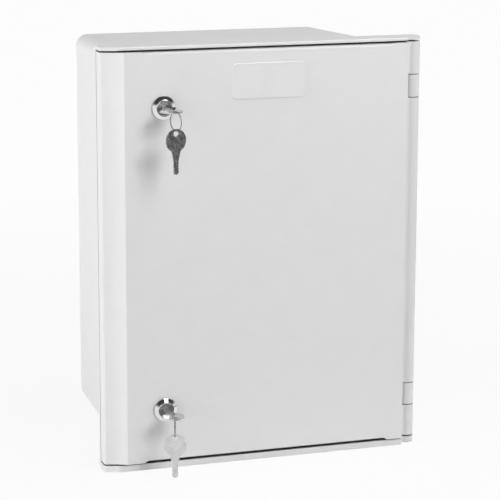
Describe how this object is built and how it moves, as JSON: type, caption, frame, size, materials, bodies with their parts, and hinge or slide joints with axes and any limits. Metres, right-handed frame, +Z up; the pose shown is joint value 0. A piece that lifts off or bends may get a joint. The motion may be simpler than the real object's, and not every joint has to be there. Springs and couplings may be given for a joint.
{
  "type": "polyester wall enclosure",
  "caption": "Moulded wall enclosure: deep drafted tub with a flanged front frame and a hinged door on knuckle hinges, held by key-operated cam locks.",
  "frame": {"origin": "middle of the flat rear face that lies against the wall", "axes": "+X towards the hinge side, +Y into the wall, +Z up"},
  "size_m": [0.4, 0.3383, 0.5085],
  "materials": {
    "polyester": "satin moulded",
    "gasket": "soft foam",
    "pin_steel": "ground",
    "lock_chrome": "polished",
    "key_steel": "nickel plated",
    "ring_wire": "bright wire",
    "zinc": "zinc plated",
    "panel_steel": "galvanised",
    "brass": "knurled"
  },
  "bodies": {
    "tub": {"tub": "polyester", "upper_hinge_pin": "pin_steel", "lower_hinge_pin": "pin_steel", "upper_keeper": "zinc", "lower_keeper": "zinc", "keeper_screws": "zinc", "mounting_plate": "panel_steel", "plate_screws": "zinc", "plate_washers": "zinc", "threaded_inserts": "brass"},
    "door": {"door": "polyester", "door_gasket": "gasket", "upper_lock_housing": "lock_chrome", "upper_lock_seal": "gasket", "upper_lock_nut": "zinc", "lower_lock_housing": "lock_chrome", "lower_lock_seal": "gasket", "lower_lock_nut": "zinc"},
    "upper_lock": {"upper_lock_plug": "lock_chrome", "upper_lock_cam": "zinc", "upper_cam_screw": "zinc"},
    "upper_key": {"upper_key": "key_steel"},
    "upper_key_ring": {"upper_key_ring": "ring_wire"},
    "upper_spare_key": {"upper_spare_key": "key_steel"},
    "lower_lock": {"lower_lock_plug": "lock_chrome", "lower_lock_cam": "zinc", "lower_cam_screw": "zinc"},
    "lower_key": {"lower_key": "key_steel"},
    "lower_key_ring": {"lower_key_ring": "ring_wire"},
    "lower_spare_key": {"lower_spare_key": "key_steel"}
  },
  "joints": [
    {"name": "door_swing", "type": "hinge", "parent": "tub", "child": "door", "pos_m": [0.1915, -0.2622, 0], "axis": [0, 0, 1], "range_deg": [0, 120]},
    {"name": "upper_lock_turn", "type": "hinge", "parent": "door", "child": "upper_lock", "pos_m": [-0.1274, -0.281, 0.1815], "axis": [0, 1, 0], "range_deg": [0, 90]},
    {"name": "upper_key_pull", "type": "slide", "parent": "upper_lock", "child": "upper_key", "axis": [0, -1, 0], "range_m": [0, 0.02]},
    {"name": "upper_ring_swing", "type": "hinge", "parent": "upper_key", "child": "upper_key_ring", "pos_m": [-0.12597, -0.32689, 0.17205], "axis": [0.9563, 0.2924, 0], "range_deg": [-40, 40]},
    {"name": "upper_spare_key_swing", "type": "hinge", "parent": "upper_key_ring", "child": "upper_spare_key", "pos_m": [-0.12597, -0.32689, 0.1608], "axis": [0.2924, -0.9563, 0], "range_deg": [-50, 50]},
    {"name": "lower_lock_turn", "type": "hinge", "parent": "door", "child": "lower_lock", "pos_m": [-0.1274, -0.281, -0.1815], "axis": [0, 1, 0], "range_deg": [0, 90]},
    {"name": "lower_key_pull", "type": "slide", "parent": "lower_lock", "child": "lower_key", "axis": [0, -1, 0], "range_m": [0, 0.02]},
    {"name": "lower_ring_swing", "type": "hinge", "parent": "lower_key", "child": "lower_key_ring", "pos_m": [-0.12891, -0.32686, -0.19095], "axis": [0.9511, -0.309, 0], "range_deg": [-40, 40]},
    {"name": "lower_spare_key_swing", "type": "hinge", "parent": "lower_key_ring", "child": "lower_spare_key", "pos_m": [-0.12891, -0.32686, -0.2022], "axis": [-0.309, -0.9511, 0], "range_deg": [-50, 50]}
  ]
}
